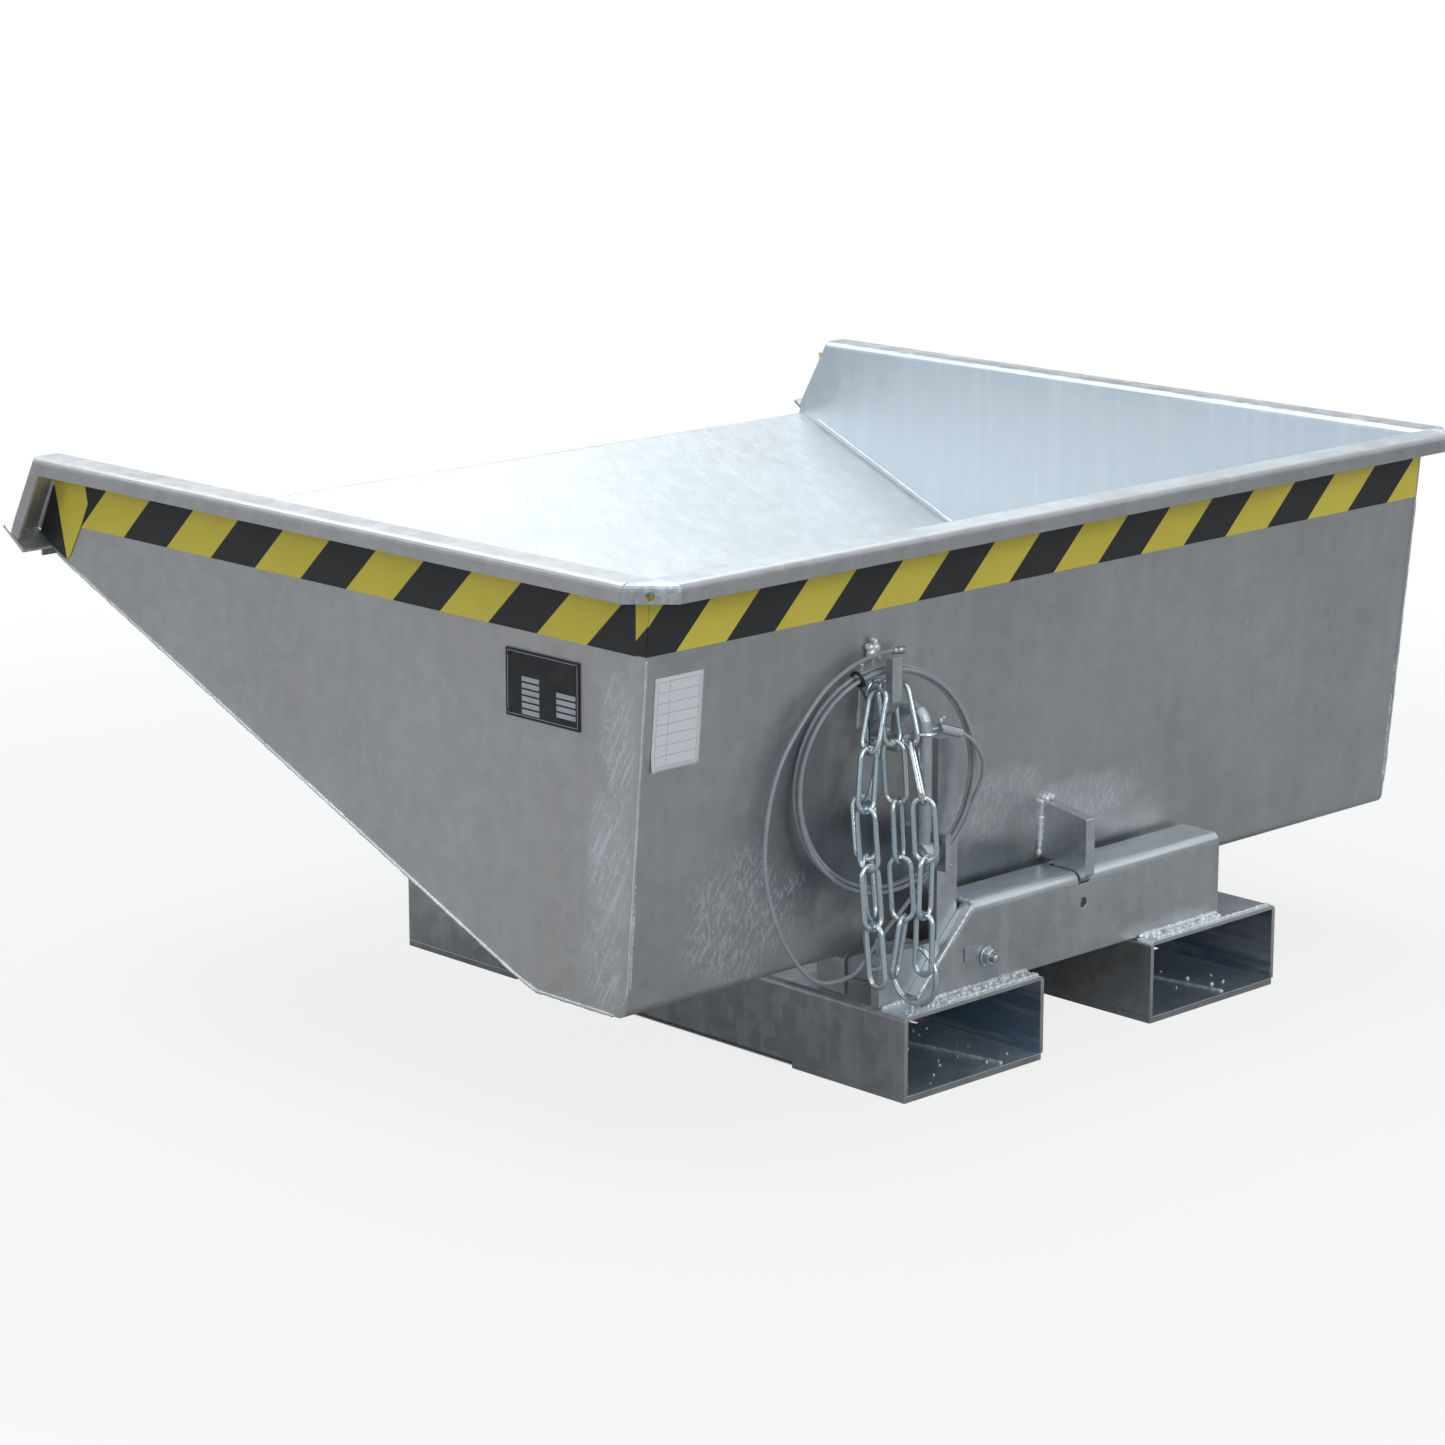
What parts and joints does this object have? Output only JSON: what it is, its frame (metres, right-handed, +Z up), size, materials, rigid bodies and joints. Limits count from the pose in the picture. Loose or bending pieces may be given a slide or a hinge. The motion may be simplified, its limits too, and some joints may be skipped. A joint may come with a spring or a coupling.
{
  "type": "forklift tipping skip",
  "caption": "Low galvanised steel tipping skip on fork pockets, with a sloping tub that tips forwards, a hooked latch, release cable, safety chain and hazard tape.",
  "frame": {"origin": "middle of the footprint's box on the floor, under the lowest face of the fork pocket straps", "axes": "+X across the skip, the longest way; +Y forwards to the pouring lip; +Z up"},
  "size_m": [1.118, 0.9526, 0.508],
  "materials": {
    "galvanised_steel": "hot-dip galvanised, dull spangle",
    "bright_zinc": "bright zinc plated",
    "cable_sheath": "smooth grey sheath",
    "black_plate": "semi-gloss black"
  },
  "bodies": {
    "base": {"fork_pocket_left": "galvanised_steel", "fork_pocket_right": "galvanised_steel", "strap_rear_left": "galvanised_steel", "strap_rear_right": "galvanised_steel", "strap_front_left": "galvanised_steel", "strap_front_right": "galvanised_steel", "cross_beam": "galvanised_steel", "front_tie": "galvanised_steel", "rest_pad_left": "galvanised_steel", "rest_pad_right": "galvanised_steel", "pivot_ear_left_inner": "galvanised_steel", "pivot_ear_left_outer": "galvanised_steel", "pivot_ear_right_inner": "galvanised_steel", "pivot_ear_right_outer": "galvanised_steel", "pivot_pin_left": "galvanised_steel", "pivot_pin_right": "galvanised_steel", "latch_post": "galvanised_steel", "latch_bracket": "galvanised_steel", "latch_pin": "galvanised_steel", "keeper_bolt": "bright_zinc", "lock_plate": "galvanised_steel"},
    "tub": {"tub_shell": "galvanised_steel", "side_wall_left": "galvanised_steel", "side_wall_right": "galvanised_steel", "rim_corner_left": "galvanised_steel", "rim_corner_right": "galvanised_steel", "rim_end_plate_left": "galvanised_steel", "rim_end_plate_right": "galvanised_steel", "pivot_arm_left": "galvanised_steel", "pivot_arm_right": "galvanised_steel", "catch_lug": "galvanised_steel", "centring_plate": "galvanised_steel", "hook_plate": "galvanised_steel", "type_plate": "black_plate", "chain_strand_front": "bright_zinc", "chain_strand_middle": "bright_zinc", "chain_strand_left": "bright_zinc", "chain_ring": "bright_zinc", "quick_link": "bright_zinc", "release_cable_run": "cable_sheath", "release_cable_coil": "cable_sheath", "release_cable_tail": "cable_sheath"},
    "latch": {"latch_lever": "galvanised_steel", "cable_ferrule": "galvanised_steel"}
  },
  "joints": [
    {"name": "tub_tip", "type": "hinge", "parent": "base", "child": "tub", "pos_m": [0, 0.051, 0.105], "axis": [-1, 0, 0], "range_deg": [0, 75]},
    {"name": "latch_swing", "type": "hinge", "parent": "base", "child": "latch", "pos_m": [-0.23, -0.4414, 0.221], "axis": [1, 0, 0], "range_deg": [0, 25], "stiffness_Nm_per_rad": 0.6, "springref_deg": -28.65}
  ]
}
